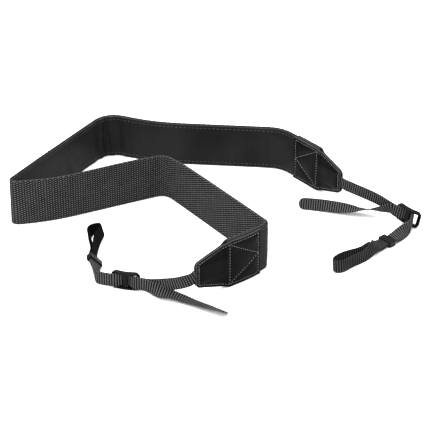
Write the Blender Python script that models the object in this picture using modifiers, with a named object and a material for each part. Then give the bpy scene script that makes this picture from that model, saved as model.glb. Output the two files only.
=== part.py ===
"""A camera neck strap laid in a loose loop on its edges. A wide band of webbing on a smooth lining
ends in two leather tabs. From each tab a narrow webbing runs through a tri-glide and a keeper to a
loop for the camera's lug, and back to a loose tail. Metres, +Z up, resting on z = 0."""

import math
from collections import namedtuple

import bmesh
import bpy
from mathutils import Matrix, Vector

# The clearance between two pieces that touch on the real strap
GAP = 0.0003

# The wide band, measured along it between the ends of its two tabs
BAND_LENGTH = 0.7245
BAND_WIDTH = 0.038
WEBBING_THICK = 0.0016
LINING_WIDTH = 0.037
LINING_THICK = 0.0012

# The leather tabs, each of two layers: a full-width box on the band, then a taper
TAB_BOX = 0.030
TAB_TAPER = 0.030
TAB_THICK = 0.0012
TAB_END_WIDTH = 0.020
TAB_CORNER = 0.003
TAB_RAMP = 0.0024

# The narrow webbing, sewn into the tab over the seam's length
NARROW_WIDTH = 0.010
NARROW_THICK = 0.0010
NARROW_SEAM = 0.025
TAIL_ROUND = 0.004

# The tri-glide: a bowed plate with two slots
GLIDE_RAIL = 0.0015
GLIDE_END_BAR = 0.0028
GLIDE_MIDDLE_BAR = 0.0030
GLIDE_SLOT = 0.0068
GLIDE_THICK = 0.0018
GLIDE_RAIL_DEPTH = 0.0036
GLIDE_BOW = 0.0005
GLIDE_FILLET = 0.0003
GLIDE_CORNER = 0.0030
GLIDE_EDGE = 0.0005
SLOT_CLEARANCE = 0.0004

# The keeper: a short rectangular tube
KEEPER_WALL = 0.0010
KEEPER_LENGTH = 0.0070
KEEPER_EDGE = 0.0004

# The bare label caught under the edge of one tab
LABEL_HEIGHT = 0.012
LABEL_REACH = 0.0035
LABEL_THICK = 0.0005

# How finely a strip is divided: the longest step, and the largest turn in degrees
LONGEST_STEP = 0.014
NARROW_STEP = 0.008
LARGEST_TURN = 9.0
TRACE_STEP = 0.0005
LOOP_STEPS = 90

# How square the loop's end is
LOOP_BLUNT = 10

Bend = namedtuple("Bend", "place turn spread")
Value = namedtuple("Value", "place value")
Fold = namedtuple("Fold", "place depth spread slant")
Stretch = namedtuple("Stretch", "length bends")
End = namedtuple(
    "End",
    "name side over lead drop loop tail slope pitch bulge late drop_leans loop_leans tail_rises tail_leans",
)

# Where the band starts, at the end of the tab behind, and its heading there in degrees
BAND_START = Vector((0.1036, 0.0219))
BAND_HEADING = 124.5

# The band's bends: place and spread are shares of its length, turns are in degrees
BAND_BENDS = (
    Bend(0.055, 1.9, 0.072),
    Bend(0.110, 47.8, 0.040),
    Bend(0.262, -20.9, 0.095),
    Bend(0.321, 88.9, 0.048),
    Bend(0.522, 127.4, 0.019),
    Bend(0.560, 18.0, 0.087),
    Bend(0.7040, -83.7, 0.0290),
    Bend(0.901, -74.8, 0.0165),
    Bend(0.931, -11.7, 0.039),
)

# How far the band's top leans to the left of its run, in degrees
BAND_LEANS = (
    Value(0.00, 0.0),
    Value(0.45, 0.0),
    Value(0.53, 1.0),
    Value(0.58, -2.2),
    Value(0.66, -1.0),
    Value(0.70, -3.5),
    Value(0.74, 0.6),
    Value(0.85, 0.8),
    Value(0.93, 0.0),
    Value(1.00, 0.0),
)

# The lining's creases: place and spread are shares of the band's length, depth of its thickness,
# and slant is how far the crease runs along the band from its foot to its top, a share of the width
LINING_FOLDS = (
    Fold(0.300, 0.70, 0.010, 0.05),
    Fold(0.318, 0.95, 0.008, 0.00),
    Fold(0.333, 0.80, 0.008, -0.04),
    Fold(0.352, 0.40, 0.012, 0.10),
    Fold(0.400, 0.30, 0.016, 0.25),
    Fold(0.128, 0.45, 0.010, 0.10),
)

# Each end: the side of its tail, whether the webbing rides over the tri-glide's outer end bar, its plan
# stretches, how it leaves the tab and passes the tri-glide in degrees of slope, how wide its loop
# opens and how late, and how far it leans to the left of its run. Tail rises are shares of its width.
FRONT = End(
    name="front",
    side=1,
    over=1.0,
    lead=Stretch(
        0.0552,
        (
            Bend(0.07, -42.0, 0.10),
            Bend(0.18, -16.0, 0.30),
            Bend(0.62, -8.0, 0.14),
            Bend(0.78, 14.0, 0.12),
        ),
    ),
    drop=Stretch(0.0427, (Bend(0.53, -68.5, 0.24),)),
    loop=Stretch(0.0475, (Bend(0.36, -7.0, 0.65),)),
    tail=Stretch(
        0.0723,
        (
            Bend(0.05, -12.0, 0.12),
            Bend(0.20, 16.5, 0.20),
            Bend(0.46, -21.5, 0.33),
            Bend(0.81, -2.0, 0.30),
        ),
    ),
    slope=-27.5,
    pitch=0.0,
    bulge=0.0108,
    late=2.2,
    drop_leans=(Value(0.0, 0.0), Value(0.48, 0.0), Value(1.0, 43.0)),
    loop_leans=(Value(0.0, 43.0), Value(0.22, 16.0), Value(0.5, 24.0), Value(1.0, 14.0)),
    tail_rises=(
        Value(0.00, 0.72),
        Value(0.15, 0.62),
        Value(0.31, 0.41),
        Value(0.47, 0.19),
        Value(0.62, 0.12),
        Value(0.75, 0.08),
        Value(0.90, 0.20),
        Value(1.00, 0.27),
    ),
    tail_leans=(
        Value(0.00, 0.0),
        Value(0.15, 11.0),
        Value(0.31, 74.0),
        Value(0.47, 90.0),
        Value(0.62, 102.0),
        Value(0.75, 107.0),
        Value(0.90, 117.0),
        Value(1.00, 122.0),
    ),
)

BACK = End(
    name="back",
    side=-1,
    over=0.0,
    lead=Stretch(0.0642, (Bend(0.06, 21.5, 0.12), Bend(0.43, -4.0, 0.40))),
    drop=Stretch(0.0378, (Bend(0.11, -67.0, 0.11), Bend(0.40, -34.0, 0.60))),
    loop=Stretch(
        0.0598,
        (
            Bend(0.13, 23.0, 0.24),
            Bend(0.41, -34.0, 0.43),
            Bend(0.76, 22.0, 0.32),
        ),
    ),
    tail=Stretch(
        0.0781,
        (
            Bend(0.05, 18.0, 0.12),
            Bend(0.29, 7.5, 0.20),
            Bend(0.80, 9.0, 0.40),
        ),
    ),
    slope=-8.5,
    pitch=-11.0,
    bulge=0.0103,
    late=1.25,
    drop_leans=(Value(0.0, 0.0), Value(0.30, 5.0), Value(0.94, -88.0), Value(1.0, -88.0)),
    loop_leans=(Value(0.0, -88.0), Value(0.18, -56.0), Value(0.5, -7.0), Value(1.0, -6.0)),
    tail_rises=(Value(0.0, 0.92), Value(0.15, 0.80), Value(0.4, 0.50), Value(1.0, 0.50)),
    tail_leans=(
        Value(0.00, 0.0),
        Value(0.05, 20.0),
        Value(0.12, 34.0),
        Value(0.25, 62.0),
        Value(0.36, 80.0),
        Value(0.44, 101.0),
        Value(0.57, 126.0),
        Value(0.74, 142.0),
        Value(1.00, 170.0),
    ),
)


# Sizes that follow from those above
TAB_LENGTH = TAB_BOX + TAB_TAPER
LAYER_PITCH = NARROW_THICK + GAP
STACK_THICK = 2 * NARROW_THICK + GAP
GLIDE_INSIDE = NARROW_WIDTH + 2 * SLOT_CLEARANCE
GLIDE_HEIGHT = GLIDE_INSIDE + 2 * GLIDE_RAIL
GLIDE_LENGTH = 2 * (GLIDE_END_BAR + GLIDE_SLOT) + GLIDE_MIDDLE_BAR
WAVE_REACH = GLIDE_LENGTH / 2 - GLIDE_END_BAR / 2
WAVE = (STACK_THICK + GLIDE_THICK) / 2 + 2 * GAP - GLIDE_BOW
KEEPER_INSIDE = NARROW_WIDTH + 2 * GAP
KEEPER_DEPTH = STACK_THICK + 2 * GAP
KEEPER_RUN = KEEPER_LENGTH + 2 * GAP


def smooth(share):
    """0 to 1 with level ends."""
    share = min(max(share, 0.0), 1.0)
    return share * share * (3.0 - 2.0 * share)


def between(share, first, first_slope, last, last_slope, span):
    """A cubic from one value and slope to another over a span."""
    return (
        (2 * share**3 - 3 * share**2 + 1) * first
        + (share**3 - 2 * share**2 + share) * span * first_slope
        + (3 * share**2 - 2 * share**3) * last
        + (share**3 - share**2) * span * last_slope
    )


def read(rows, place):
    """The value at a place between a table's rows, on a smooth curve through them."""
    if place <= rows[0].place:
        return rows[0].value
    if place >= rows[-1].place:
        return rows[-1].value
    slopes = [0.0]
    for before, after in zip(rows, rows[2:]):
        slopes.append((after.value - before.value) / (after.place - before.place))
    slopes.append(0.0)
    index = max(i for i, row in enumerate(rows[:-1]) if row.place <= place)
    first, last = rows[index], rows[index + 1]
    span = last.place - first.place
    share = (place - first.place) / span
    return between(share, first.value, slopes[index], last.value, slopes[index + 1], span)


def side_of(heading):
    """The level direction to the left of a heading."""
    return Vector((-math.sin(heading), math.cos(heading)))


class Course:
    """A plan line from a start and a heading through stretches of bends, read by distance."""

    def __init__(self, start, heading, stretches):
        self.length = sum(stretch.length for stretch in stretches)
        bends = []
        begin = 0.0
        for stretch in stretches:
            for bend in stretch.bends:
                middle = begin + bend.place * stretch.length
                bends.append((middle, math.radians(bend.turn), bend.spread * stretch.length))
            begin += stretch.length
        self.bends = bends
        self.start_heading = heading
        steps = math.ceil(self.length / TRACE_STEP)
        self.step = self.length / steps
        self.points = [Vector(start)]
        for i in range(steps):
            middle = self.heading((i + 0.5) * self.step)
            move = Vector((math.cos(middle), math.sin(middle))) * self.step
            self.points.append(self.points[-1] + move)

    def heading(self, distance):
        heading = self.start_heading
        for middle, turn, spread in self.bends:
            heading += turn * smooth((distance - middle) / spread + 0.5)
        return heading

    def point(self, distance):
        index = min(max(int(distance / self.step), 0), len(self.points) - 2)
        part = distance / self.step - index
        return self.points[index].lerp(self.points[index + 1], part)


def spaced(length, start=0.0):
    """Places at the trace's step over a length."""
    count = math.ceil(length / TRACE_STEP)
    return [start + length * i / count for i in range(count + 1)]


def stations(lines, longest, marks=()):
    """The indices that a strip keeps: its marks, close together in bends, far apart where straight."""
    kept = [0]
    count = len(lines[0])
    run = 0.0
    for i in range(1, count - 1):
        run += max((line[i] - line[i - 1]).length for line in lines)
        turn = 0.0
        for line in lines:
            before = line[kept[-1] + 1] - line[kept[-1]]
            after = line[i + 1] - line[i]
            if before.length > 0 and after.length > 0:
                turn = max(turn, math.degrees(before.angle(after)))
        if run >= longest or turn >= LARGEST_TURN or i in marks:
            kept.append(i)
            run = 0.0
    kept.append(count - 1)
    return kept


def material(name, colour, roughness):
    made = bpy.data.materials.new(name)
    made.use_nodes = True
    shader = made.node_tree.nodes["Principled BSDF"]
    shader.inputs["Base Color"].default_value = (*colour, 1.0)
    shader.inputs["Roughness"].default_value = roughness
    shader.inputs["Metallic"].default_value = 0.0
    return made


def add_object(name, mesh, finish, collection, holder):
    mesh.materials.append(finish)
    made = bpy.data.objects.new(name, mesh)
    collection.objects.link(made)
    made.parent = holder
    return made


def grid_mesh(name, lines):
    """A grid whose rows follow the given lines of points."""
    grid = bmesh.new()
    along, across = len(lines[0]) - 1, len(lines) - 1
    bmesh.ops.create_grid(grid, x_segments=along, y_segments=across, size=0.5)
    for vertex in grid.verts:
        i = round((vertex.co.x + 0.5) * along)
        j = round((vertex.co.y + 0.5) * across)
        vertex.co = lines[j][i]
    mesh = bpy.data.meshes.new(name)
    grid.to_mesh(mesh)
    grid.free()
    return mesh


def add_sheet(name, lines, thick, finish, collection, holder):
    """A sheet of even thickness about the surface between lines of points."""
    sheet = add_object(name, grid_mesh(name, lines), finish, collection, holder)
    wall = sheet.modifiers.new("wall", "SOLIDIFY")
    wall.thickness = thick
    wall.offset = 0.0
    wall.use_even_offset = True
    return sheet


def band_point(band, distance, offset, height):
    """A point at an offset to the left of the band's line, with the band's lean."""
    lean = math.radians(read(BAND_LEANS, distance / BAND_LENGTH))
    level = band.point(distance) + side_of(band.heading(distance)) * (offset + height * math.tan(lean))
    return Vector((level.x, level.y, height))


def crease(distance, share):
    """How far the lining stands in from its even face at a distance along it and a share of its width."""
    depth = 0.0
    for fold in LINING_FOLDS:
        middle = fold.place * BAND_LENGTH + fold.slant * LINING_WIDTH * (share - 0.5)
        reach = (distance - middle) / (fold.spread * BAND_LENGTH)
        depth += fold.depth * LINING_THICK * math.exp(-4.0 * reach * reach)
    return depth


def tab_box_steps():
    """Distances from a tab's end, from the start of its box to the label's end."""
    box = [TAB_TAPER + TAB_BOX * i / 7 for i in range(8)]
    return box + [TAB_LENGTH + GAP, TAB_LENGTH + GAP + LABEL_REACH]


def band_places(band):
    """Distances at which both of the band's sheets have a row, shared with the tabs that cover them."""
    ends = tab_box_steps()
    middle = spaced(BAND_LENGTH - 2 * ends[-1], ends[-1])
    lines = []
    for share in (0.0, 0.5, 1.0):
        for side in (-1, 1):
            line = []
            for place in middle:
                offset = side * WEBBING_THICK + crease(place, share)
                line.append(band_point(band, place, offset, share * BAND_WIDTH))
            lines.append(line)
    kept = [middle[i] for i in stations(lines, LONGEST_STEP)]
    return ends[:-1] + kept + [BAND_LENGTH - place for place in reversed(ends[:-1])]


def add_webbing(band, finish, collection, holder):
    places = band_places(band)
    offset = -(GAP + WEBBING_THICK) / 2
    lines = [
        [band_point(band, place, offset, share * BAND_WIDTH) for place in places]
        for share in (0.0, 0.5, 1.0)
    ]
    return add_sheet("band_webbing", lines, WEBBING_THICK, finish, collection, holder)


def add_lining(band, finish, collection, holder):
    """The lining, whose creases bulge away from the webbing clear of the tabs."""
    places = band_places(band)
    foot = (BAND_WIDTH - LINING_WIDTH) / 2
    lines = []
    for share in (0.0, 0.5, 1.0):
        height = foot + share * LINING_WIDTH
        line = []
        for place in places:
            offset = (GAP + LINING_THICK) / 2 + crease(place, share)
            line.append(band_point(band, place, offset, height))
        lines.append(line)
    return add_sheet("band_lining", lines, LINING_THICK, finish, collection, holder)


def tab_half_width(distance):
    """Half the tab's width at a distance from its end."""
    share = min(distance / TAB_TAPER, 1.0)
    half = (TAB_END_WIDTH + (BAND_WIDTH - TAB_END_WIDTH) * share) / 2
    if distance < TAB_CORNER:
        half -= TAB_CORNER - math.sqrt(TAB_CORNER**2 - (TAB_CORNER - distance) ** 2)
    return half


def tab_offset(distance, across, layers):
    """How far a tab layer's middle stands from the band's line, over the band or the narrow webbing."""
    flat = (GAP + TAB_THICK) / 2
    over_band = GAP / 2 + layers + GAP + TAB_THICK / 2
    over_narrow = NARROW_THICK / 2 + GAP + TAB_THICK / 2
    ridge = 1.0 - smooth((abs(across) - NARROW_WIDTH / 2 - GAP) / TAB_RAMP)
    low = flat + (over_narrow - flat) * ridge
    rise = smooth((distance - TAB_TAPER + 3 * TAB_RAMP) / (3 * TAB_RAMP - GAP))
    return low + (over_band - low) * rise


def add_tab_layer(name, band, near, sign, layers, finish, collection, holder):
    """One leather layer of a tab. near tells which end of the band, sign which side of it."""
    corner = [TAB_CORNER * (1 - math.cos(math.radians(a))) for a in (0, 30, 60, 90)]
    ramp = [TAB_TAPER - 3 * TAB_RAMP + 3 * TAB_RAMP * i / 5 for i in range(6)]
    taper = [TAB_CORNER + (ramp[0] - TAB_CORNER) * i / 3 for i in range(1, 3)]
    steps = corner + taper + ramp + tab_box_steps()[1:8]
    ridge = NARROW_WIDTH / 2 + GAP
    shares = (0.0, 0.5, 0.66, 0.82, 0.9, 1.0)
    lines = []
    for row in range(-5, 6):
        line = []
        for step in steps:
            half = tab_half_width(step)
            fixed = (0.0, ridge, ridge + TAB_RAMP / 2, ridge + TAB_RAMP)
            rank = abs(row)
            if rank < len(fixed):
                across = min(fixed[rank], shares[rank] * half)
            elif rank == 4:
                across = (min(fixed[3], shares[3] * half) + half) / 2
            else:
                across = half
            across = math.copysign(across, row)
            place = step if near else BAND_LENGTH - step
            offset = sign * tab_offset(step, across, layers)
            line.append(band_point(band, place, offset, BAND_WIDTH / 2 + across))
        lines.append(line)
    return add_sheet(name, lines, TAB_THICK, finish, collection, holder)


def wave(distance, end):
    """The sideways swing of the narrow webbing through the tri-glide's slots."""
    from_middle = distance - end.lead.length
    if abs(from_middle) < WAVE_REACH:
        swing = -math.cos(math.pi * from_middle / WAVE_REACH)
    else:
        swing = 1.0 - smooth((abs(from_middle) - WAVE_REACH) / GLIDE_LENGTH)
    if from_middle > 0 and swing > 0:
        swing *= end.over
    return WAVE * swing


def glide_height(end):
    """The height of a tri-glide's middle, with its lower rail or its lower corner on the floor."""
    pitch = math.radians(abs(end.pitch))
    return GLIDE_HEIGHT / 2 * math.cos(pitch) + (GLIDE_LENGTH / 2 - GLIDE_CORNER / 2) * math.sin(pitch)


def keeper_span(end):
    """Where the straight run through the keeper starts and ends along the spine."""
    first = end.lead.length + end.drop.length
    return first, first + KEEPER_RUN


def spine_lean(distance, end):
    """The lean of the narrow webbing to the left of its outward run, in radians."""
    _, last = keeper_span(end)
    if distance < last:
        return math.radians(read(end.drop_leans, (distance - end.lead.length) / end.drop.length))
    return math.radians(read(end.loop_leans, (distance - last) / end.loop.length))


def resting_height(lean, half_height, half_depth):
    """The middle of a leaning section that touches the floor."""
    return half_height * abs(math.cos(lean)) + half_depth * abs(math.sin(lean))


def spine_height(distance, end):
    """The height of the narrow webbing's middle, from the tab down to the tri-glide and the loop."""
    lead, drop = end.lead.length, end.drop.length
    first, last = keeper_span(end)
    glide, pitch = glide_height(end), math.tan(math.radians(end.pitch))
    if distance <= lead:
        slope = math.tan(math.radians(end.slope))
        run = lead - GLIDE_LENGTH / 2
        share = min(distance / run, 1.0)
        past = max(distance - run, 0.0)
        entry = glide - pitch * GLIDE_LENGTH / 2
        return between(share, BAND_WIDTH / 2, slope, entry, pitch, run) + pitch * past
    keeper = resting_height(
        spine_lean(first, end), KEEPER_INSIDE / 2 + KEEPER_WALL, KEEPER_DEPTH / 2 + KEEPER_WALL
    )
    lean = spine_lean(distance, end)
    if distance <= last:
        fall = between(min((distance - lead) / drop, 1.0), glide, pitch, keeper, 0.0, drop)
        return max(fall, resting_height(lean, NARROW_WIDTH / 2, STACK_THICK / 2))
    share = (distance - last) / end.loop.length
    reach = max((end.bulge + NARROW_THICK) / 2 * smooth(2.2 * share), STACK_THICK / 2)
    rest = resting_height(lean, NARROW_WIDTH / 2, reach)
    return max(rest, keeper + (rest - keeper) * smooth(3.0 * share))


def spine_frame(course, distance, end, offset):
    """A point at an offset from the spine, and the direction across the webbing there."""
    left = side_of(course.heading(distance))
    lean = spine_lean(distance, end)
    aside = Vector((left.x * math.cos(lean), left.y * math.cos(lean), -math.sin(lean)))
    upward = Vector((left.x * math.sin(lean), left.y * math.sin(lean), math.cos(lean)))
    level = course.point(distance)
    middle = Vector((level.x, level.y, spine_height(distance, end)))
    return middle + aside * offset, upward


def loop_widest(late):
    """The most that the loop's opening curve comes to, from how late it opens."""
    share = late / (late + LOOP_BLUNT / 2)
    return share ** (late / LOOP_BLUNT) * math.sqrt(1.0 - share)


def around_loop():
    """Shares from the keeper (1) round the loop's end (0) and back to the keeper (-1)."""
    return [1.0 - i / LOOP_STEPS for i in range(1, 2 * LOOP_STEPS)]


def narrow_frames(band, end, near):
    """Middle points and cross directions of a narrow webbing, from its seam to the tip of its tail,
    and the indices of its frames at the mouths of the tab and the keeper."""
    frames = []
    for place in spaced(NARROW_SEAM):
        distance = NARROW_SEAM - place
        at = distance if near else BAND_LENGTH - distance
        frames.append((band_point(band, at, 0.0, BAND_WIDTH / 2), Vector((0, 0, 1))))
    spine = spine_of(band, end, near)
    lead, loop = end.lead.length, end.loop.length
    first, last = keeper_span(end)
    half = LAYER_PITCH / 2
    seam = len(frames) - 1
    mouths = [seam, seam + int(first / TRACE_STEP), seam + len(spaced(last)) - 1]
    for place in spaced(last)[1:]:
        apart = half * smooth(place / (lead - GLIDE_LENGTH))
        frames.append(spine_frame(spine, place, end, end.side * (wave(place, end) - apart)))
    for share in around_loop():
        reach = 1.0 - abs(share) ** 3
        opened = (end.bulge - NARROW_THICK) / 2 / loop_widest(end.late) * reach**end.late
        spread = (half + opened) * math.sqrt(1.0 - reach**LOOP_BLUNT)
        offset = math.copysign(spread, -share * end.side)
        frames.append(spine_frame(spine, last + loop * reach, end, offset))
    leave = lead - GLIDE_LENGTH / 2 - GLIDE_END_BAR / 2
    back = spaced(last - leave, leave)
    mouths += [len(frames), len(frames) + math.ceil((last - first) / TRACE_STEP)]
    for place in reversed(back):
        frames.append(spine_frame(spine, place, end, end.side * (wave(place, end) + half)))
    start, before = frames[-1][0], frames[-3][0]
    run = start - before
    tail = Course(start.xy, math.atan2(run.y, run.x), (end.tail,))
    for place in spaced(end.tail.length)[1:]:
        share = place / end.tail.length
        lean = math.radians(read(end.tail_leans, share))
        height = read(end.tail_rises, share) * NARROW_WIDTH
        height += (start.z - end.tail_rises[0].value * NARROW_WIDTH) * (1.0 - smooth(5.0 * share))
        height = max(height, resting_height(lean, NARROW_WIDTH / 2, NARROW_THICK / 2))
        left = side_of(tail.heading(place))
        level = tail.point(place)
        upward = Vector((left.x * math.sin(lean), left.y * math.sin(lean), math.cos(lean)))
        frames.append((Vector((level.x, level.y, height)), upward))
    return frames, mouths


def spine_of(band, end, near):
    at = 0.0 if near else BAND_LENGTH
    heading = band.heading(at) + (math.pi if near else 0.0)
    return Course(band.point(at), heading, (end.lead, end.drop, Stretch(KEEPER_RUN, ()), end.loop))


def add_narrow(band, end, near, finish, collection, holder):
    """The narrow webbing as one strip, with its tail's end rounded."""
    frames, mouths = narrow_frames(band, end, near)
    lines = ([], [])
    to_tip = 0.0
    halves = []
    for i in range(len(frames) - 1, -1, -1):
        if i < len(frames) - 1:
            to_tip += (frames[i + 1][0] - frames[i][0]).length
        half = NARROW_WIDTH / 2
        if to_tip < TAIL_ROUND:
            half *= math.sqrt(1.0 - 0.9 * (1.0 - to_tip / TAIL_ROUND) ** 2)
        halves.append(half)
    halves.reverse()
    for i, (middle, upward) in enumerate(frames):
        after = frames[min(i + 1, len(frames) - 1)][0]
        before = frames[max(i - 1, 0)][0]
        run = (after - before).normalized()
        across = (upward - run * upward.dot(run)).normalized()
        lines[0].append(middle - across * halves[i])
        lines[1].append(middle + across * halves[i])
    kept = stations(lines, NARROW_STEP, mouths)
    lines = [[line[i] for i in kept] for line in lines]
    return add_sheet(f"{end.name}_narrow_webbing", lines, NARROW_THICK, finish, collection, holder)


def add_bevel(made, width):
    edge = made.modifiers.new("edge", "BEVEL")
    edge.width = width
    edge.segments = 2
    edge.limit_method = "ANGLE"
    edge.angle_limit = math.radians(50.0)


def glide_half_height(along):
    """Half the tri-glide's height, less at its rounded corners."""
    half = GLIDE_HEIGHT / 2
    past = abs(along) - (GLIDE_LENGTH / 2 - GLIDE_CORNER)
    if past > 0:
        half -= GLIDE_CORNER - math.sqrt(max(GLIDE_CORNER**2 - past**2, 0.0))
    return half


def add_glide(band, end, near, finish, collection, holder):
    """The tri-glide: a bowed plate on its edge with two slots, its middle bar towards the open side."""
    half_length = GLIDE_LENGTH / 2
    bar = GLIDE_MIDDLE_BAR / 2
    slot_end = bar + GLIDE_SLOT
    corner = [half_length - GLIDE_CORNER * (1 - math.cos(math.radians(a))) for a in (35, 60, 90)]
    outside = sorted({round(x, 6) for x in [half_length, slot_end] + [c for c in corner if c > slot_end]})
    side = [bar] + [bar + GLIDE_SLOT * i / 4 for i in range(1, 4)] + outside
    cuts = [-x for x in reversed(side)] + side
    inner = GLIDE_INSIDE / 2
    plate = bmesh.new()
    rows = 5
    bmesh.ops.create_grid(plate, x_segments=len(cuts) - 1, y_segments=rows, size=0.5)
    for vertex in plate.verts:
        i = round((vertex.co.x + 0.5) * (len(cuts) - 1))
        j = round((vertex.co.y + 0.5) * rows)
        along = cuts[i]
        outside_half = glide_half_height(along)
        inside_half = min(inner, 0.8 * outside_half)
        thin_half = inside_half - GLIDE_FILLET
        height = (-outside_half, -inside_half, -thin_half, thin_half, inside_half, outside_half)[j]
        bow = GLIDE_BOW * math.cos(math.pi * min(abs(along) / WAVE_REACH, 1.0))
        vertex.co = Vector((along, end.side * bow, height))
    slots = []
    for face in plate.faces:
        middle = face.calc_center_median()
        if abs(middle.z) < inner and bar < abs(middle.x) < slot_end:
            slots.append(face)
    bmesh.ops.delete(plate, geom=slots, context="FACES")
    name = f"{end.name}_tri_glide"
    mesh = bpy.data.meshes.new(name)
    plate.to_mesh(mesh)
    plate.free()
    glide = add_object(name, mesh, finish, collection, holder)
    rails = glide.vertex_groups.new(name="rails")
    straight = GLIDE_LENGTH / 2 - GLIDE_CORNER / 2
    deep = []
    for vertex in mesh.vertices:
        if abs(vertex.co.x) < straight and abs(vertex.co.z) > inner - GLIDE_FILLET / 2:
            deep.append(vertex.index)
    rails.add(deep, 1.0, "REPLACE")
    wall = glide.modifiers.new("wall", "SOLIDIFY")
    wall.thickness = GLIDE_RAIL_DEPTH
    wall.offset = 0.0
    wall.vertex_group = "rails"
    wall.thickness_vertex_group = GLIDE_THICK / GLIDE_RAIL_DEPTH
    add_bevel(glide, GLIDE_EDGE)
    spine = spine_of(band, end, near)
    level = spine.point(end.lead.length)
    glide.location = (level.x, level.y, glide_height(end))
    glide.rotation_euler = (0.0, -math.radians(end.pitch), spine.heading(end.lead.length))
    return glide


def box_object(name, size, collection):
    box = bmesh.new()
    bmesh.ops.create_cube(box, size=1.0, matrix=Matrix.Diagonal((*size, 1.0)))
    mesh = bpy.data.meshes.new(name)
    box.to_mesh(mesh)
    box.free()
    made = bpy.data.objects.new(name, mesh)
    collection.objects.link(made)
    return made


def add_keeper(band, end, near, finish, collection, cutters, holder):
    """The keeper: a short tube of a rectangular section around both layers of the narrow webbing."""
    name = f"{end.name}_keeper"
    outer = (KEEPER_LENGTH, KEEPER_DEPTH + 2 * KEEPER_WALL, KEEPER_INSIDE + 2 * KEEPER_WALL)
    inner = (2 * KEEPER_LENGTH, KEEPER_DEPTH, KEEPER_INSIDE)
    keeper = box_object(name, outer, collection)
    keeper.data.materials.append(finish)
    keeper.parent = holder
    passage = box_object(f"{name}_passage", inner, cutters)
    passage.hide_render = True
    passage.display_type = "WIRE"
    passage.parent = keeper
    cut = keeper.modifiers.new("passage", "BOOLEAN")
    cut.object = passage
    add_bevel(keeper, KEEPER_EDGE)
    spine = spine_of(band, end, near)
    at = sum(keeper_span(end)) / 2
    middle, _ = spine_frame(spine, at, end, 0.0)
    keeper.location = middle
    keeper.rotation_euler = (-spine_lean(at, end), 0.0, spine.heading(at))
    return keeper


def add_label(band, finish, collection, holder):
    """The bare label that stands out from under one tab's edge on the lining."""
    offset = GAP / 2 + LINING_THICK + GAP + LABEL_THICK / 2
    start = TAB_LENGTH + GAP
    lines = []
    for share in (-0.5, 0.5):
        height = BAND_WIDTH / 2 + share * LABEL_HEIGHT
        lines.append([band_point(band, place, offset, height) for place in (start, start + LABEL_REACH)])
    return add_sheet("label", lines, LABEL_THICK, finish, collection, holder)


def stand_on_origin(holder, pieces):
    """Moves the strap so that its box has the origin at the middle of its bottom."""
    bpy.context.view_layer.update()
    graph = bpy.context.evaluated_depsgraph_get()
    corners = []
    for piece in pieces:
        solid = piece.evaluated_get(graph)
        corners += [piece.matrix_world @ vertex.co for vertex in solid.to_mesh().vertices]
        solid.to_mesh_clear()
    low = [min(corner[axis] for corner in corners) for axis in range(3)]
    high = [max(corner[axis] for corner in corners) for axis in range(3)]
    holder.location = (-(low[0] + high[0]) / 2, -(low[1] + high[1]) / 2, -low[2])


def build():
    for old in list(bpy.data.objects):
        bpy.data.objects.remove(old)
    collection = bpy.data.collections.new("camera_neck_strap")
    cutters = bpy.data.collections.new("cutters")
    bpy.context.scene.collection.children.link(collection)
    bpy.context.scene.collection.children.link(cutters)
    holder = bpy.data.objects.new("camera_neck_strap_frame", None)
    collection.objects.link(holder)
    woven = material("charcoal_webbing", (0.030, 0.030, 0.031), 0.85)
    smooth_lining = material("dark_grey_lining", (0.020, 0.020, 0.021), 0.55)
    leather = material("black_leather", (0.011, 0.011, 0.011), 0.45)
    narrow = material("black_narrow_webbing", (0.022, 0.022, 0.023), 0.80)
    plastic = material("black_plastic", (0.012, 0.012, 0.012), 0.35)
    cloth = material("black_label", (0.010, 0.010, 0.010), 0.80)
    band = Course(BAND_START, math.radians(BAND_HEADING), (Stretch(BAND_LENGTH, BAND_BENDS),))
    add_webbing(band, woven, collection, holder)
    add_lining(band, smooth_lining, collection, holder)
    sides = (("lining", 1, LINING_THICK), ("webbing", -1, WEBBING_THICK))
    for end, near in ((BACK, True), (FRONT, False)):
        for sheet, sign, layers in sides:
            name = f"{end.name}_tab_on_{sheet}"
            add_tab_layer(name, band, near, sign, layers, leather, collection, holder)
        add_narrow(band, end, near, narrow, collection, holder)
        add_glide(band, end, near, plastic, collection, holder)
        add_keeper(band, end, near, plastic, collection, cutters, holder)
    add_label(band, cloth, collection, holder)
    stand_on_origin(holder, [piece for piece in collection.objects if piece.type == "MESH"])


build()
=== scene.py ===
"""The looks of a camera neck strap that lies in a loose loop on its edges: a woven band on a smooth
lining, leather tabs with stitching, and ribbed narrow webbing through tri-glides and keepers.
Metres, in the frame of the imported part."""

import math
from collections import namedtuple

import bpy
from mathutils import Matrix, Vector, noise


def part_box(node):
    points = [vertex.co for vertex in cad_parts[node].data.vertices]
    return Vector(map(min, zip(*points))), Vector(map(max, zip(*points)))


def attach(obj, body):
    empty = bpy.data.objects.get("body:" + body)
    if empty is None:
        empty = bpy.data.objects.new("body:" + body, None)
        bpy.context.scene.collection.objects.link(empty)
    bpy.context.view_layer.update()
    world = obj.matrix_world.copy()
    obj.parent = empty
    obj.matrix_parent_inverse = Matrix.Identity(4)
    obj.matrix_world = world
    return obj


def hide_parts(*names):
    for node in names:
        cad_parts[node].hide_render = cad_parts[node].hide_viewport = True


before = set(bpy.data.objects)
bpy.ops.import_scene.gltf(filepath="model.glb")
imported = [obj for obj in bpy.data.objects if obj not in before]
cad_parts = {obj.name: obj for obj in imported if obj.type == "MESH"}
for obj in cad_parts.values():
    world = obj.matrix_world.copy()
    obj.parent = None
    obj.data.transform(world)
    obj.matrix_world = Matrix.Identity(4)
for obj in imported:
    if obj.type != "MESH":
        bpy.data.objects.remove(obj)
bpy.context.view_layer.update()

MM = 0.001

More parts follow.
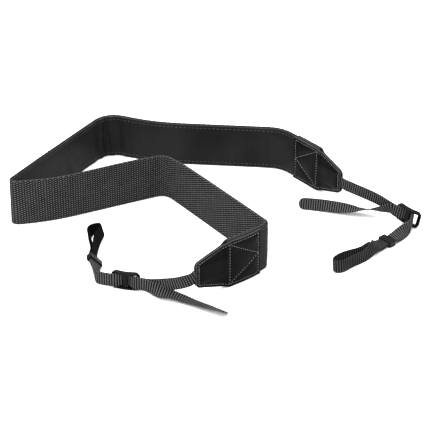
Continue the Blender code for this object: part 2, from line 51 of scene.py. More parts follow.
# The camera: its distance, its pitch in degrees and its lens in mm
CAMERA_DISTANCE = 1.140
CAMERA_PITCH = 28.0
CAMERA_LENS = 117.209

# The clearance between two pieces that touch on the real strap
GAP = 0.0003

# The wide band, measured along it between the ends of its two tabs
BAND_LENGTH = 0.7245
BAND_WIDTH = 0.038
WEBBING_THICK = 0.0016
LINING_WIDTH = 0.037
LINING_THICK = 0.0012

# The leather tabs: a full-width box on the band, then a taper
TAB_BOX = 0.030
TAB_TAPER = 0.030
TAB_THICK = 0.0012
TAB_END_WIDTH = 0.020
TAB_CORNER = 0.003
TAB_RAMP = 0.0024
RIDGE_RAMP = 0.0046

# The narrow webbing, sewn into the tab over the seam's length
NARROW_WIDTH = 0.010
NARROW_THICK = 0.0010
NARROW_SEAM = 0.025
TAIL_ROUND = 0.004

# The tri-glide and the keeper, as far as the webbing through them depends on their sizes
GLIDE_RAIL = 0.0015
GLIDE_END_BAR = 0.0028
GLIDE_MIDDLE_BAR = 0.0030
GLIDE_SLOT = 0.0068
GLIDE_THICK = 0.0018
GLIDE_BOW = 0.0005
GLIDE_CORNER = 0.0030
SLOT_CLEARANCE = 0.0004
KEEPER_WALL = 0.0010
KEEPER_LENGTH = 0.0070

# The step along each traced line, the steps along each side of a lug loop, how blunt its end is, and
# how soon the loop and the tail come to rest on the floor, as rates over their lengths
TRACE_STEP = 0.0005
LEAST_STEP = 1e-9
LOOP_STEPS = 90
LOOP_BLUNT = 10
LOOP_REACH_RATE = 2.2
LOOP_REST_RATE = 3.0
TAIL_REST_RATE = 5.0

# The wide weave: how far apart the crossing yarns are, how many yarns run along the band, how deep
# the weave is and how much of that its hollows take, how far its edge yarn waves, and how far its
# edges round out
PICK_PITCH = 0.00215
PICK_STEPS = 3
WARP_COUNT = 42
WEAVE_DEPTH = 0.0006
WEAVE_PROUD = 0.0001
HOLLOW_SHARE = 0.7
SELVEDGE_WAVE = 0.00008
TOP_ROUND = 0.3 * MM
BOTTOM_ROUND = 0.15 * MM
WEBBING_BACK_ROWS = (1.0, 0.67, 0.33, 0.0)

# The wide weave's painted light and shade, from 0 to 1: painted shade in its hollows, its edges with a
# painted highlight along the top edge and its round, their swing from yarn to yarn, its back, and how
# sharply the painted light comes up on a rising yarn
HOLLOW_PAINTED_SHADE = 0.05
BOTTOM_SHADE = 0.10
TOP_PAINTED_HIGHLIGHT = 0.13
TOP_SHADE_SWING = 0.05
ROUND_PAINTED_HIGHLIGHT = 0.22
ROUND_SHADE_SWING = 0.06
BACK_SHADE = 0.1
PAINTED_LIGHT_SHARPNESS = 2.6

# The narrow weave's ribs: their pitch and depth, the yarns across them and the painted shade in the
# dips between them, how far they wave the edges, where along each rib the yarns rise and take painted
# light, how thin the edges are, and how much the tip narrows
RIB_PITCH = 0.00195
RIB_STEPS = 6
RIB_DEPTH = 0.00032
RIB_PROUD = 0.00008
RIB_YARNS = 6
RIB_YARN_DEPTH = 0.05 * MM
RIB_YARN_PAINTED_SHADE = 0.25
RIB_EDGE_WAVE = 0.12 * MM
RIB_RISE_START = -0.25
RIB_RISE_SPAN = 1.1
EDGE_SHARE = 0.99
EDGE_THINNING = 0.55
TIP_NARROWING = 0.9

# How light the ribs stay round each loop under a painted shadow, where the fold lies in its own shade,
# and over what length that shadow fades in
LOOP_PAINTED_SHADOW = {"front": 0.07, "back": 0.60}
LOOP_SHADOW_FADE = 0.008

# The lining's skin: its steps, how far its padding lifts it, how its edges roll and round out, how soon
# the folds fade, how much of a crease shows and the least that a crease leaves of the thickness
LINING_STEP = 0.9 * MM
LINING_COLUMNS = 44
LINING_BACK_ROWS = (0.98, 0.5, 0.02)
PAD_LIFT = 0.2 * MM
EDGE_ROLL = 0.35 * MM
EDGE_ROLL_REACH = 0.9 * MM
LINING_ROUND = 0.2 * MM
FOLD_SHARPNESS = 4.0
FOLD_REACH = 2
CREASE_FADE = 0.6
CREASE_SHARE = 0.75
CREASE_LEAST = 0.0004

# How pale the lining's cut edges are, from 0 to 1, and how far that reaches
EDGE_SHADE = 0.5
EDGE_SHADE_REACH = 0.8 * MM
FOOT_SHADE = 0.6

# The leather's skin: its steps, the bevel and the round of its cut edges, its swell between seams, and
# how far one layer's unevenness is moved from the next one's
TAB_STEP = 0.55 * MM
TAB_COLUMNS = 64
TAB_BACK_COLUMNS = 12
CORNER_ANGLES = (0, 12, 25, 38, 52, 66, 80)
TAB_BEVEL = 0.35 * MM
TAB_ROUND = 0.05 * MM
TAB_SWELL = 0.30 * MM
TAB_SWELL_REACH = 6 * MM
TAB_UNEVEN_REACH = 2 * MM
LAYER_SHIFT = 40.0
BEVEL_SHADE = 0.8
TAB_BACK_SHADE = 0.3

# Stitches on the lining's edges and on the tabs: pitch, length, width, how far from the edge, how far
# out as a share of their height, and over what reach their direction is taken
LINING_STITCH_PITCH = 0.0036
LINING_STITCH_LENGTH = 0.0023
LINING_STITCH_INSET = 0.0026
LINING_STITCH_LIFT = 0.2
LINING_STITCH_REACH = MM
TAB_STITCH_PITCH = 0.0024
TAB_STITCH_LENGTH = 0.0013
TAB_STITCH_INSET = 0.0022
TAB_STITCH_LIFT = 0.25
TAB_STITCH_REACH = 0.4 * MM
STITCH_WIDTH = 0.00042
STITCH_HEIGHT = 0.00034
STITCH_SIDES = 6

# The groove that a seam draws into the lining or the leather
GROOVE_DEPTH = 0.00028
GROOVE_WIDTH = 0.0009

# The clouds of noise in the finishes: their detail, and the part of their range that shows
CLOUD_DETAIL = 3.0
CLOUD_LOW = 0.35
CLOUD_HIGH = 0.65

FLOOR_SIZE = 4.0
FLOOR_DROP = 0.05 * MM

Bend = namedtuple("Bend", "place turn spread")
Value = namedtuple("Value", "place value")
Fold = namedtuple("Fold", "place depth spread slant")
Waver = namedtuple("Waver", "scale depth")
Stretch = namedtuple("Stretch", "length bends")
End = namedtuple(
    "End",
    "name side over lead drop loop tail slope pitch bulge late"
    " drop_leans loop_leans tail_rises tail_leans",
)
Station = namedtuple("Station", "distance point left slant")

# A stitch's rings: the place of each along the thread and its share of the full thickness
STITCH_RINGS = (Value(-0.5, 0.35), Value(-0.28, 1.0), Value(0.28, 1.0), Value(0.5, 0.35))

# The small unevenness of the lining and of the leather, coarse and fine
LINING_WAVERS = (Waver(60.0, 0.25 * MM), Waver(170.0, 0.06 * MM))
LEATHER_WAVERS = (Waver(110.0, 0.22 * MM), Waver(330.0, 0.05 * MM))

# Where the band starts, at the end of the tab behind, and its heading there in degrees
BAND_START = Vector((0.1036, 0.0219))
BAND_HEADING = 124.5

# The band's bends: place and spread are shares of its length, turns are in degrees
BAND_BENDS = (
    Bend(0.055, 1.9, 0.072),
    Bend(0.110, 47.8, 0.040),
    Bend(0.262, -20.9, 0.095),
    Bend(0.321, 88.9, 0.048),
    Bend(0.522, 127.4, 0.019),
    Bend(0.560, 18.0, 0.087),
    Bend(0.7040, -83.7, 0.0290),
    Bend(0.901, -74.8, 0.0165),
    Bend(0.931, -11.7, 0.039),
)

# How far the band's top leans to the left of its run, in degrees
BAND_LEANS = (
    Value(0.00, 0.0),
    Value(0.45, 0.0),
    Value(0.53, 1.0),
    Value(0.58, -2.2),
    Value(0.66, -1.0),
    Value(0.70, -3.5),
    Value(0.74, 0.6),
    Value(0.85, 0.8),
    Value(0.93, 0.0),
    Value(1.00, 0.0),
)

# The lining's swells: place and spread are shares of the band's length, depth of its thickness,
# and slant is how far the swell runs along the band from its foot to its top, a share of the width
LINING_SWELLS = (
    Fold(0.300, 0.70, 0.010, 0.05),
    Fold(0.318, 0.95, 0.008, 0.00),
    Fold(0.333, 0.80, 0.008, -0.04),
    Fold(0.352, 0.40, 0.012, 0.10),
    Fold(0.400, 0.30, 0.016, 0.25),
    Fold(0.128, 0.45, 0.010, 0.10),
)

# The lining's sharp creases between the swells, in the same measures
LINING_CREASES = (
    Fold(0.3070, 0.25, 0.0050, -0.06),
    Fold(0.3225, 1.20, 0.0017, 0.08),
    Fold(0.3240, 1.20, 0.0017, -0.08),
    Fold(0.3290, 0.80, 0.0020, 0.05),
    Fold(0.3420, 0.30, 0.0040, -0.10),
    Fold(0.3800, 0.25, 0.0060, 0.20),
    Fold(0.3950, 0.35, 0.0050, 0.30),
    Fold(0.4130, 0.25, 0.0060, 0.35),
    Fold(0.2500, 0.12, 0.0080, -0.20),
    Fold(0.1220, 0.30, 0.0050, 0.10),
)

# Each end: the side of its tail, whether the webbing rides over the tri-glide's outer end bar, its plan
# stretches, how it leaves the tab and passes the tri-glide in degrees of slope, how wide its loop
# opens and how late, and how far it leans to the left of its run. Tail rises are shares of its width.
FRONT = End(
    name="front",
    side=1,
    over=1.0,
    lead=Stretch(
        0.0552,
        (
            Bend(0.07, -42.0, 0.10),
            Bend(0.18, -16.0, 0.30),
            Bend(0.62, -8.0, 0.14),
            Bend(0.78, 14.0, 0.12),
        ),
    ),
    drop=Stretch(0.0427, (Bend(0.53, -68.5, 0.24),)),
    loop=Stretch(0.0475, (Bend(0.36, -7.0, 0.65),)),
    tail=Stretch(
        0.0723,
        (
            Bend(0.05, -12.0, 0.12),
            Bend(0.20, 16.5, 0.20),
            Bend(0.46, -21.5, 0.33),
            Bend(0.81, -2.0, 0.30),
        ),
    ),
    slope=-27.5,
    pitch=0.0,
    bulge=0.0108,
    late=2.2,
    drop_leans=(Value(0.0, 0.0), Value(0.48, 0.0), Value(1.0, 43.0)),
    loop_leans=(Value(0.0, 43.0), Value(0.22, 16.0), Value(0.5, 24.0), Value(1.0, 14.0)),
    tail_rises=(
        Value(0.00, 0.72),
        Value(0.15, 0.62),
        Value(0.31, 0.41),
        Value(0.47, 0.19),
        Value(0.62, 0.12),
        Value(0.75, 0.08),
        Value(0.90, 0.20),
        Value(1.00, 0.27),
    ),
    tail_leans=(
        Value(0.00, 0.0),
        Value(0.15, 11.0),
        Value(0.31, 74.0),
        Value(0.47, 90.0),
        Value(0.62, 102.0),
        Value(0.75, 107.0),
        Value(0.90, 117.0),
        Value(1.00, 122.0),
    ),
)

BACK = End(
    name="back",
    side=-1,
    over=0.0,
    lead=Stretch(0.0642, (Bend(0.06, 21.5, 0.12), Bend(0.43, -4.0, 0.40))),
    drop=Stretch(0.0378, (Bend(0.11, -67.0, 0.11), Bend(0.40, -34.0, 0.60))),
    loop=Stretch(
        0.0598,
        (
            Bend(0.13, 23.0, 0.24),
            Bend(0.41, -34.0, 0.43),
            Bend(0.76, 22.0, 0.32),
        ),
    ),
    tail=Stretch(
        0.0781,
        (
            Bend(0.05, 18.0, 0.12),
            Bend(0.29, 7.5, 0.20),
            Bend(0.80, 9.0, 0.40),
        ),
    ),
    slope=-8.5,
    pitch=-11.0,
    bulge=0.0103,
    late=1.25,
    drop_leans=(Value(0.0, 0.0), Value(0.30, 5.0), Value(0.94, -88.0), Value(1.0, -88.0)),
    loop_leans=(Value(0.0, -88.0), Value(0.18, -56.0), Value(0.5, -7.0), Value(1.0, -6.0)),
    tail_rises=(Value(0.0, 0.92), Value(0.15, 0.80), Value(0.4, 0.50), Value(1.0, 0.50)),
    tail_leans=(
        Value(0.00, 0.0),
        Value(0.05, 20.0),
        Value(0.12, 34.0),
        Value(0.25, 62.0),
        Value(0.36, 80.0),
        Value(0.44, 101.0),
        Value(0.57, 126.0),
        Value(0.74, 142.0),
        Value(1.00, 170.0),
    ),
)

# Sizes that follow from those above
TAB_LENGTH = TAB_BOX + TAB_TAPER
LAYER_PITCH = NARROW_THICK + GAP
STACK_THICK = 2 * NARROW_THICK + GAP
GLIDE_HEIGHT = NARROW_WIDTH + 2 * (SLOT_CLEARANCE + GLIDE_RAIL)
GLIDE_LENGTH = 2 * (GLIDE_END_BAR + GLIDE_SLOT) + GLIDE_MIDDLE_BAR
WAVE_REACH = GLIDE_LENGTH / 2 - GLIDE_END_BAR / 2
WAVE = (STACK_THICK + GLIDE_THICK) / 2 + 2 * GAP - GLIDE_BOW
KEEPER_INSIDE = NARROW_WIDTH + 2 * GAP
KEEPER_DEPTH = STACK_THICK + 2 * GAP
KEEPER_RUN = KEEPER_LENGTH + 2 * GAP


def smooth(share):
    """0 to 1 with level ends."""
    share = min(max(share, 0.0), 1.0)
    return share * share * (3.0 - 2.0 * share)


def between(share, first, first_slope, last, last_slope, span):
    """A cubic from one value and slope to another over a span."""
    return (
        (2 * share**3 - 3 * share**2 + 1) * first
        + (share**3 - 2 * share**2 + share) * span * first_slope
        + (3 * share**2 - 2 * share**3) * last
        + (share**3 - share**2) * span * last_slope
    )


def read(rows, place):
    """The value at a place between a table's rows, on a smooth curve through them."""
    if place <= rows[0].place:
        return rows[0].value
    if place >= rows[-1].place:
        return rows[-1].value
    slopes = [0.0]
    for before, after in zip(rows, rows[2:]):
        slopes.append((after.value - before.value) / (after.place - before.place))
    slopes.append(0.0)
    index = max(i for i, row in enumerate(rows[:-1]) if row.place <= place)
    first, last = rows[index], rows[index + 1]
    span = last.place - first.place
    share = (place - first.place) / span
    return between(share, first.value, slopes[index], last.value, slopes[index + 1], span)


def side_of(heading):
    """The level direction to the left of a heading."""
    return Vector((-math.sin(heading), math.cos(heading)))


class Course:
    """A plan line from a start and a heading through stretches of bends, read by distance."""

    def __init__(self, start, heading, stretches):
        self.length = sum(stretch.length for stretch in stretches)
        self.bends = []
        begin = 0.0
        for stretch in stretches:
            for bend in stretch.bends:
                middle = begin + bend.place * stretch.length
                self.bends.append((middle, math.radians(bend.turn), bend.spread * stretch.length))
            begin += stretch.length
        self.start_heading = heading
        steps = math.ceil(self.length / TRACE_STEP)
        self.step = self.length / steps
        self.points = [Vector(start)]
        for i in range(steps):
            middle = self.heading((i + 0.5) * self.step)
            move = Vector((math.cos(middle), math.sin(middle))) * self.step
            self.points.append(self.points[-1] + move)

    def heading(self, distance):
        heading = self.start_heading
        for middle, turn, spread in self.bends:
            heading += turn * smooth((distance - middle) / spread + 0.5)
        return heading

    def point(self, distance):
        index = min(max(int(distance / self.step), 0), len(self.points) - 2)
        part = distance / self.step - index
        return self.points[index].lerp(self.points[index + 1], part)


def even(first, last, step=TRACE_STEP):
    """Places from first to last, evenly spaced by about a step."""
    count = max(math.ceil((last - first) / step), 1)
    return [first + (last - first) * i / count for i in range(count + 1)]


band = Course(BAND_START, math.radians(BAND_HEADING), (Stretch(BAND_LENGTH, BAND_BENDS),))


def band_station(distance):
    """What a cross-section of the band needs at a distance along it."""
    slant = math.tan(math.radians(read(BAND_LEANS, distance / BAND_LENGTH)))
    return Station(distance, band.point(distance), side_of(band.heading(distance)), slant)


def band_place(station, offset, height):
    """A point at an offset to the left of the band's line, with the band's lean."""
    level = station.point + station.left * (offset + height * station.slant)
    return Vector((level.x, level.y, height))


def frame_shift():
    """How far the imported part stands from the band's own line, from the box of the band's webbing."""
    low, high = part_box("band_webbing")
    corners = []
    for distance in even(TAB_TAPER, BAND_LENGTH - TAB_TAPER):
        station = band_station(distance)
        for offset in (-GAP / 2, -GAP / 2 - WEBBING_THICK):
            corners += [band_place(station, offset, height) for height in (0.0, BAND_WIDTH)]
    middles = []
    for axis in range(2):
        values = [corner[axis] for corner in corners]
        middles.append((low[axis] + high[axis] - min(values) - max(values)) / 2)
    return Vector((middles[0], middles[1], low.z))


SHIFT = frame_shift()


def shell(name, rings, tones, finish, node=None):
    """A closed skin over rings of points. tones holds a ring of shades for each ring, from 0 to 1."""
    around = len(rings[0])
    points = [point + SHIFT for ring in rings for point in ring]
    faces = []
    for i in range(len(rings) - 1):
        for k in range(around):
            after = (k + 1) % around
            near, far = i * around, (i + 1) * around
            faces.append((near + k, far + k, far + after, near + after))
    faces.append(tuple(range(around)))
    faces.append(tuple(reversed(range(len(points) - around, len(points)))))
    mesh = bpy.data.meshes.new(name)
    mesh.from_pydata(points, [], faces)
    mesh.attributes.new("tone", "FLOAT", "POINT")
    mesh.attributes["tone"].data.foreach_set("value", [tone for ring in tones for tone in ring])
    return add_piece(name, mesh, finish, node)


def add_piece(name, mesh, finish, node=None):
    """A smooth-shaded piece that rides on the part and may stand for a node of it."""
    mesh.validate()
    mesh.polygons.foreach_set("use_smooth", [True] * len(mesh.polygons))
    mesh.materials.append(finish)
    made = bpy.data.objects.new(name, mesh)
    bpy.context.scene.collection.objects.link(made)
    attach(made, "root")
    if node:
        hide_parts(node)
    return made


def facing_out(made):
    """Turns a piece's faces outward where its rings ran the other way."""
    mesh = made.data
    volume = 0.0
    for face in mesh.polygons:
        volume += face.center.dot(face.normal) * face.area
    if volume < 0:
        mesh.flip_normals()
    return made


# The wide band


def add_wide_webbing(finish):
    """The woven band: its outer face rises where a lengthwise yarn passes over a crossing yarn, with
    painted light where it rises, painted shade in its hollows and a painted highlight along its top
    edge.
    """
    first, last = TAB_TAPER, BAND_LENGTH - TAB_TAPER
    picks = round((last - first) / PICK_PITCH)
    pitch = (last - first) / picks
    row = BAND_WIDTH / WARP_COUNT
    face_offset = -(GAP / 2 + WEBBING_THICK + WEAVE_PROUD)
    rings, tones = [], []
    for i in range(PICK_STEPS * picks + 1):
        pick = (i + 0.5) / PICK_STEPS
        station = band_station(first + min(pick * pitch, last - first))
        ring, tone = [], []
        swing = math.cos(math.pi * pick)
        edge = SELVEDGE_WAVE * swing
        for half_row in range(2 * WARP_COUNT + 1):
            height = half_row * row / 2
            # Painted light on a yarn where it rises over a crossing yarn, painted shade in the hollows
            # between rows
            if half_row % 2:
                over = math.cos(math.pi * (pick - 0.5 + half_row // 2))
                sunk = (1.0 - over) / 2 * WEAVE_DEPTH
                painted_light = max(over, 0.0) ** PAINTED_LIGHT_SHARPNESS
            else:
                sunk = HOLLOW_SHARE * WEAVE_DEPTH
                painted_light = HOLLOW_PAINTED_SHADE
            if half_row == 0:
                height -= edge
                painted_light = BOTTOM_SHADE
            # The top edge carries a painted highlight, lighter than the bottom edge
            elif half_row == 2 * WARP_COUNT:
                height += edge
                painted_light = TOP_PAINTED_HIGHLIGHT + TOP_SHADE_SWING * swing
            ring.append(band_place(station, face_offset + sunk, height))
            tone.append(painted_light)
        top, bottom = BAND_WIDTH + edge, -edge
        middle = -(GAP + WEBBING_THICK) / 2
        # A painted highlight on the round of the top edge
        ring.append(band_place(station, middle, top + TOP_ROUND))
        tone.append(ROUND_PAINTED_HIGHLIGHT + ROUND_SHADE_SWING * swing)
        for share in WEBBING_BACK_ROWS:
            ring.append(band_place(station, -GAP / 2, bottom + (top - bottom) * share))
            tone.append(BACK_SHADE)
        ring.append(band_place(station, middle, bottom - BOTTOM_ROUND))
        tone.append(BACK_SHADE)
        rings.append(ring)
        tones.append(tone)
    made = facing_out(shell("wide_webbing", rings, tones, finish, "band_webbing"))
    return made


def fold_depth(folds, distance, share):
    """How far a list of folds stands out at a distance along the band and a share of its width."""
    depth = 0.0
    for fold in folds:
        middle = fold.place * BAND_LENGTH + fold.slant * LINING_WIDTH * (share - 0.5)
        reach = (distance - middle) / (fold.spread * BAND_LENGTH)
        if abs(reach) < FOLD_REACH:
            depth += fold.depth * LINING_THICK * math.exp(-FOLD_SHARPNESS * reach * reach)
    return depth


def unevenness(wavers, place):
    """How far a skin stands out of true at a place on its flat cloth."""
    return sum(noise.noise(place * waver.scale) * waver.depth for waver in wavers)


def lining_offset(distance, share):
    """How far the lining's face stands from the band's line: padded between its edge seams."""
    inset = min(share, 1.0 - share) * LINING_WIDTH
    groove = math.exp(-(((inset - LINING_STITCH_INSET) / GROOVE_WIDTH) ** 2))
    padded = smooth((inset - LINING_STITCH_INSET) / (3 * LINING_STITCH_INSET))
    middle = math.sin(math.pi * share)
    sharp = fold_depth(LINING_CREASES, distance, share) * middle**CREASE_FADE
    swell = fold_depth(LINING_SWELLS, distance, share)
    uneven = unevenness(LINING_WAVERS, Vector((distance, share * LINING_WIDTH, 0.0)))
    flat = GAP / 2 + LINING_THICK - GROOVE_DEPTH * groove + (PAD_LIFT + uneven) * padded
    least = GAP / 2 + 0.5 * swell + CREASE_LEAST
    return max(flat + swell - CREASE_SHARE * sharp, least)


def add_lining(finish):
    """The smooth inner side: padded between its seams, with its folds, and with rolled edges."""
    first, last = TAB_TAPER, BAND_LENGTH - TAB_TAPER
    foot = (BAND_WIDTH - LINING_WIDTH) / 2
    middle = (GAP + LINING_THICK) / 2
    rings, tones = [], []
    for distance in even(first, last, LINING_STEP):
        station = band_station(distance)
        ring, tone = [], []
        for column in range(LINING_COLUMNS + 1):
            share = column / LINING_COLUMNS
            inset = min(share, 1.0 - share) * LINING_WIDTH
            rolled = EDGE_ROLL * (1.0 - min(inset / EDGE_ROLL_REACH, 1.0)) ** 2
            offset = lining_offset(distance, share) - rolled
            ring.append(band_place(station, offset, foot + share * LINING_WIDTH))
            tone.append(EDGE_SHADE * (1.0 - min(inset / EDGE_SHADE_REACH, 1.0)))
        under = GAP / 2 + fold_depth(LINING_SWELLS, distance, 0.5) * 0.5
        ring.append(band_place(station, middle, foot + LINING_WIDTH + LINING_ROUND))
        tone.append(1.0)
        for share in LINING_BACK_ROWS:
            ring.append(band_place(station, under, foot + share * LINING_WIDTH))
            tone.append(0.0)
        ring.append(band_place(station, middle, foot - LINING_ROUND))
        tone.append(FOOT_SHADE)
        rings.append(ring)
        tones.append(tone)
    made = facing_out(shell("smooth_lining", rings, tones, finish, "band_lining"))
    return made


# Stitches


def stitch_mesh(name, spots, length, finish):
    """One mesh of short threads. Each spot is a middle, a direction along and a direction out."""
    points, faces = [], []
    for middle, along, out in spots:
        aside = along.cross(out).normalized()
        start = len(points)
        for ring in STITCH_RINGS:
            for k in range(STITCH_SIDES):
                angle = math.tau * k / STITCH_SIDES
                round_out = math.sin(angle) * STITCH_HEIGHT / 2 * ring.value
                round_aside = math.cos(angle) * STITCH_WIDTH / 2 * ring.value
                sink = STITCH_HEIGHT / 2 * (1.0 - ring.value)
                points.append(
                    SHIFT
                    + middle
                    + along * (ring.place * length)
                    + out * (round_out - sink)
                    + aside * round_aside
                )
        last = start + STITCH_SIDES * (len(STITCH_RINGS) - 1)
        for near in range(start, last, STITCH_SIDES):
            far = near + STITCH_SIDES
            for k in range(STITCH_SIDES):
                after = (k + 1) % STITCH_SIDES
                faces.append((near + k, near + after, far + after, far + k))
        faces.append(tuple(start + k for k in reversed(range(STITCH_SIDES))))
        faces.append(tuple(last + k for k in range(STITCH_SIDES)))
    mesh = bpy.data.meshes.new(name)
    mesh.from_pydata(points, [], faces)
    return add_piece(name, mesh, finish)


def add_lining_stitches(finish):
    """A row of stitches along each edge of the lining, between the tabs."""
    spots = []
    foot = (BAND_WIDTH - LINING_WIDTH) / 2
    first = TAB_LENGTH + LINING_STITCH_PITCH / 2
    last = BAND_LENGTH - first
    for inset in (LINING_STITCH_INSET, LINING_WIDTH - LINING_STITCH_INSET):
        share = inset / LINING_WIDTH
        for distance in even(first, last, LINING_STITCH_PITCH):
            before, at, after = (
                band_place(band_station(place), lining_offset(place, share), foot + inset)
                for place in (distance - LINING_STITCH_REACH, distance, distance + LINING_STITCH_REACH)
            )
            left = band_station(distance).left
            out = Vector((left.x, left.y, 0.0))
            lifted = at + out * STITCH_HEIGHT * LINING_STITCH_LIFT
            spots.append((lifted, (after - before).normalized(), out))
    return stitch_mesh("lining_stitches", spots, LINING_STITCH_LENGTH, finish)


# The leather tabs


def tab_half_width(distance):
    """Half the tab's width at a distance from its end."""
    share = min(distance / TAB_TAPER, 1.0)
    half = (TAB_END_WIDTH + (BAND_WIDTH - TAB_END_WIDTH) * share) / 2
    if distance < TAB_CORNER:
        half -= TAB_CORNER - math.sqrt(TAB_CORNER**2 - (TAB_CORNER - distance) ** 2)
    return half


def tab_offset(distance, across, layers):
    """How far a tab layer's middle stands from the band's line, over the band or the narrow webbing."""
    flat = (GAP + TAB_THICK) / 2
    over_band = GAP / 2 + layers + GAP + TAB_THICK / 2
    over_narrow = NARROW_THICK / 2 + GAP + TAB_THICK / 2
    ridge = 1.0 - smooth((abs(across) - NARROW_WIDTH / 2 - GAP) / RIDGE_RAMP)
    low = flat + (over_narrow - flat) * ridge
    rise = smooth((distance - TAB_TAPER + 3 * TAB_RAMP) / (3 * TAB_RAMP - GAP))
    return low + (over_band - low) * rise


def tab_seams():
    """The tab's stitch lines, as pairs of ends: a distance from the tab's end and a place across."""
    inset = TAB_STITCH_INSET
    base = TAB_LENGTH - inset
    knee = TAB_TAPER
    high = BAND_WIDTH / 2 - inset
    narrow = TAB_END_WIDTH / 2 - inset
    slope = (BAND_WIDTH - TAB_END_WIDTH) / 2 / TAB_TAPER
    end_high = narrow + slope * inset
    seams = [((inset, -end_high), (inset, end_high)), ((base, -high), (base, high))]
    for sign in (-1, 1):
        seams.append(((inset, sign * end_high), (knee, sign * high)))
        seams.append(((knee, sign * high), (base, sign * high)))
        seams.append(((base, 0.0), (knee + inset / 2, sign * (high - inset / 2))))
    seams.append(((knee, -high), (knee, high)))
    return seams


def to_seam(distance, across, seams):
    """How far a place on the tab is from its nearest stitch line."""
    nearest = TAB_LENGTH
    for (a, b), (c, d) in seams:
        run, rise = c - a, d - b
        share = ((distance - a) * run + (across - b) * rise) / (run * run + rise * rise)
        share = min(max(share, 0.0), 1.0)
        nearest = min(nearest, math.hypot(distance - a - run * share, across - b - rise * share))
    return nearest


def tab_face(distance, across, layers, seams):
    """How far a tab's outer face stands from the band's line, drawn in at its seams."""
    apart = to_seam(distance, across, seams)
    groove = math.exp(-((apart / GROOVE_WIDTH) ** 2))
    swell = TAB_SWELL * smooth(apart / TAB_SWELL_REACH)
    uneven = unevenness(LEATHER_WAVERS, Vector((distance, across, layers * LAYER_SHIFT)))
    middle = tab_offset(distance, across, layers) + TAB_THICK / 2
    return middle - GROOVE_DEPTH * groove + (swell + uneven) * smooth(apart / TAB_UNEVEN_REACH)


def add_tab(name, near, sign, layers, finish, node):
    """One leather layer of a tab. near tells which end of the band, sign which side of it."""
    seams = tab_seams()
    corner = [TAB_CORNER * (1 - math.cos(math.radians(angle))) for angle in CORNER_ANGLES]
    steps = corner + even(TAB_CORNER, TAB_LENGTH - TAB_BEVEL, TAB_STEP) + [TAB_LENGTH]
    back_rows = [1 - 2 * row / TAB_BACK_COLUMNS for row in range(TAB_BACK_COLUMNS + 1)]
    rings, tones = [], []
    for step in steps:
        station = band_station(step if near else BAND_LENGTH - step)
        half = tab_half_width(step)
        to_end = min(step, TAB_LENGTH - step)
        ring, tone = [], []
        for column in range(TAB_COLUMNS + 1):
            across = half * (2 * column / TAB_COLUMNS - 1)
            cut = 1.0 - min(half - abs(across), to_end, TAB_BEVEL) / TAB_BEVEL
            offset = tab_face(step, across, layers, seams) - TAB_BEVEL * cut**2
            ring.append(band_place(station, sign * offset, BAND_WIDTH / 2 + across))
            tone.append(BEVEL_SHADE * cut)
        outer = half + TAB_ROUND
        for across in (outer, *(half * row for row in back_rows), -outer):
            layer = tab_offset(step, across, layers)
            edge = abs(across) > half
            offset = layer if edge else layer - TAB_THICK / 2
            ring.append(band_place(station, sign * offset, BAND_WIDTH / 2 + across))
            tone.append(1.0 if edge else TAB_BACK_SHADE)
        rings.append(ring)
        tones.append(tone)
    return facing_out(shell(name, rings, tones, finish, node))


def add_tab_stitches(name, near, sign, layers, finish):
    """The stitches along every seam of one leather layer."""
    seams = tab_seams()
    spots = []
    for start, stop in seams:
        length = math.hypot(stop[0] - start[0], stop[1] - start[1])
        for place in even(TAB_STITCH_PITCH / 2, length - TAB_STITCH_PITCH / 2, TAB_STITCH_PITCH):
            line = []
            for at in (place - TAB_STITCH_REACH, place, place + TAB_STITCH_REACH):
                distance = start[0] + (stop[0] - start[0]) * at / length
                across = start[1] + (stop[1] - start[1]) * at / length
                station = band_station(distance if near else BAND_LENGTH - distance)
                offset = sign * tab_face(distance, across, layers, seams)
                line.append(band_place(station, offset, BAND_WIDTH / 2 + across))
            out = Vector((station.left.x, station.left.y, 0.0)) * sign
            along = (line[2] - line[0]).normalized()
            spots.append((line[1] + out * STITCH_HEIGHT * TAB_STITCH_LIFT, along, out))
    return stitch_mesh(name, spots, TAB_STITCH_LENGTH, finish)


# The narrow webbing


def wave(distance, end):
    """The sideways swing of the narrow webbing through the tri-glide's slots."""
    from_middle = distance - end.lead.length
    if abs(from_middle) < WAVE_REACH:
        swing = -math.cos(math.pi * from_middle / WAVE_REACH)
    else:
        swing = 1.0 - smooth((abs(from_middle) - WAVE_REACH) / GLIDE_LENGTH)
    if from_middle > 0 and swing > 0:
        swing *= end.over
    return WAVE * swing


def glide_height(end):
    """The height of a tri-glide's middle, with its lower rail or its lower corner on the floor."""
    pitch = math.radians(abs(end.pitch))
    return GLIDE_HEIGHT / 2 * math.cos(pitch) + (GLIDE_LENGTH / 2 - GLIDE_CORNER / 2) * math.sin(pitch)


def keeper_span(end):
    """Where the straight run through the keeper starts and ends along the spine."""
    first = end.lead.length + end.drop.length
    return first, first + KEEPER_RUN


def spine_lean(distance, end):
    """The lean of the narrow webbing to the left of its outward run, in radians."""
    _, last = keeper_span(end)
    if distance < last:
        return math.radians(read(end.drop_leans, (distance - end.lead.length) / end.drop.length))
    return math.radians(read(end.loop_leans, (distance - last) / end.loop.length))


def resting_height(lean, half_height, half_depth):
    """The middle of a leaning section that touches the floor."""
    return half_height * abs(math.cos(lean)) + half_depth * abs(math.sin(lean))


